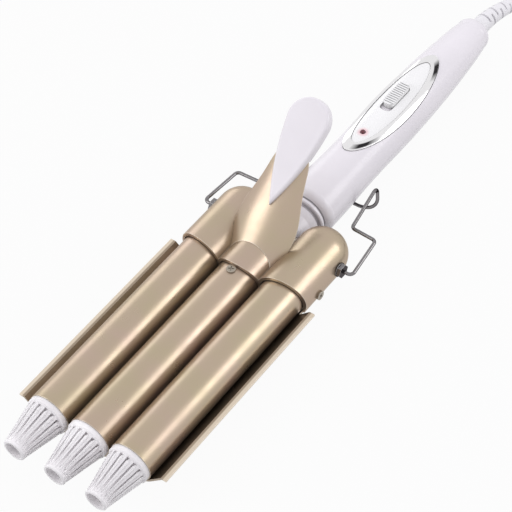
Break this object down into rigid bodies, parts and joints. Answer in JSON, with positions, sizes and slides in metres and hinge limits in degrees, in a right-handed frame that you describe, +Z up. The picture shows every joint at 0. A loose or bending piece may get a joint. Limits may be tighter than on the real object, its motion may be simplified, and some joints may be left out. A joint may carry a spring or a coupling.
{
  "type": "hair waver",
  "caption": "Hair waver with round heated barrels on a sprung jaw above a wavy plate, cool tips, thumb lever, wire stand, slide switch and a coiled mains lead.",
  "frame": {"origin": "on the surface the iron lies on, below the middle of the iron without its lead", "axes": "+Y from the cool tips to the mains lead, +Z up, +X to the right seen from above with the tips in front"},
  "size_m": [0.17, 0.5599, 0.0946],
  "materials": {
    "champagne_metal": "satin",
    "cool_tip_plastic": "matt",
    "white_plastic": "gloss",
    "panel_plastic": "gloss",
    "bezel_chrome": "mirror",
    "bright_steel": "polished",
    "spring_steel": "plain",
    "screw_steel": "plain",
    "frame_plastic": "matt",
    "heat_plastic": "matt",
    "spreader_metal": "plain",
    "ceramic": "matt",
    "red_lens": "gloss",
    "board": "satin",
    "black_plastic": "matt",
    "lead_sleeve": "matt",
    "cord_rubber": "satin",
    "tie_plastic": "matt",
    "pin_metal": "polished"
  },
  "bodies": {
    "base": {"lower_plate": "champagne_metal", "plate_carrier": "frame_plastic", "plate_screws": "screw_steel", "carrier_screws": "screw_steel", "hinge_tube": "screw_steel", "hinge_bolts": "bright_steel", "hinge_washers": "bright_steel", "torsion_springs": "spring_steel", "neck_frame": "white_plastic", "handle_upper_shell": "white_plastic", "handle_lower_shell": "white_plastic", "handle_screws": "screw_steel", "bezel": "bezel_chrome", "switch_panel": "panel_plastic", "pilot_lens": "red_lens", "pilot_led": "red_lens", "switch_body": "black_plastic", "circuit_board": "board", "mains_leads": "lead_sleeve", "heater_leads": "lead_sleeve", "cord_clamp": "frame_plastic", "clamp_screws": "screw_steel", "strain_relief": "cord_rubber", "power_cord": "cord_rubber", "plug_lead": "cord_rubber", "cord_coil": "cord_rubber", "cord_tie": "tie_plastic", "plug_body": "cord_rubber", "plug_pins": "pin_metal"},
    "jaw": {"left_barrel": "champagne_metal", "left_cool_tip": "cool_tip_plastic", "left_heat_spreader": "spreader_metal", "left_heating_stick": "ceramic", "middle_barrel": "champagne_metal", "middle_cool_tip": "cool_tip_plastic", "middle_heat_spreader": "spreader_metal", "middle_heating_stick": "ceramic", "right_barrel": "champagne_metal", "right_cool_tip": "cool_tip_plastic", "right_heat_spreader": "spreader_metal", "right_heating_stick": "ceramic", "hood": "champagne_metal", "lever": "champagne_metal", "thumb_pad": "white_plastic", "barrel_carrier": "heat_plastic", "thermal_fuse": "spreader_metal", "side_screws": "screw_steel", "barrel_screw": "screw_steel"},
    "stand": {"wire_stand": "bright_steel"},
    "switch": {"switch_slider": "panel_plastic"}
  },
  "joints": [
    {"name": "jaw_hinge", "type": "hinge", "parent": "base", "child": "jaw", "pos_m": [0, -0.0075, 0.0235], "axis": [-1, 0, 0], "range_deg": [0, 30], "stiffness_Nm_per_rad": 0.6, "springref_deg": -34.38, "deforming": ["torsion_springs"]},
    {"name": "stand_hinge", "type": "hinge", "parent": "base", "child": "stand", "pos_m": [0, -0.0075, 0.0235], "axis": [-1, 0, 0], "range_deg": [0, 100]},
    {"name": "switch_slide", "type": "slide", "parent": "base", "child": "switch", "axis": [0, 1, 0], "range_m": [-0.003, 0]}
  ]
}
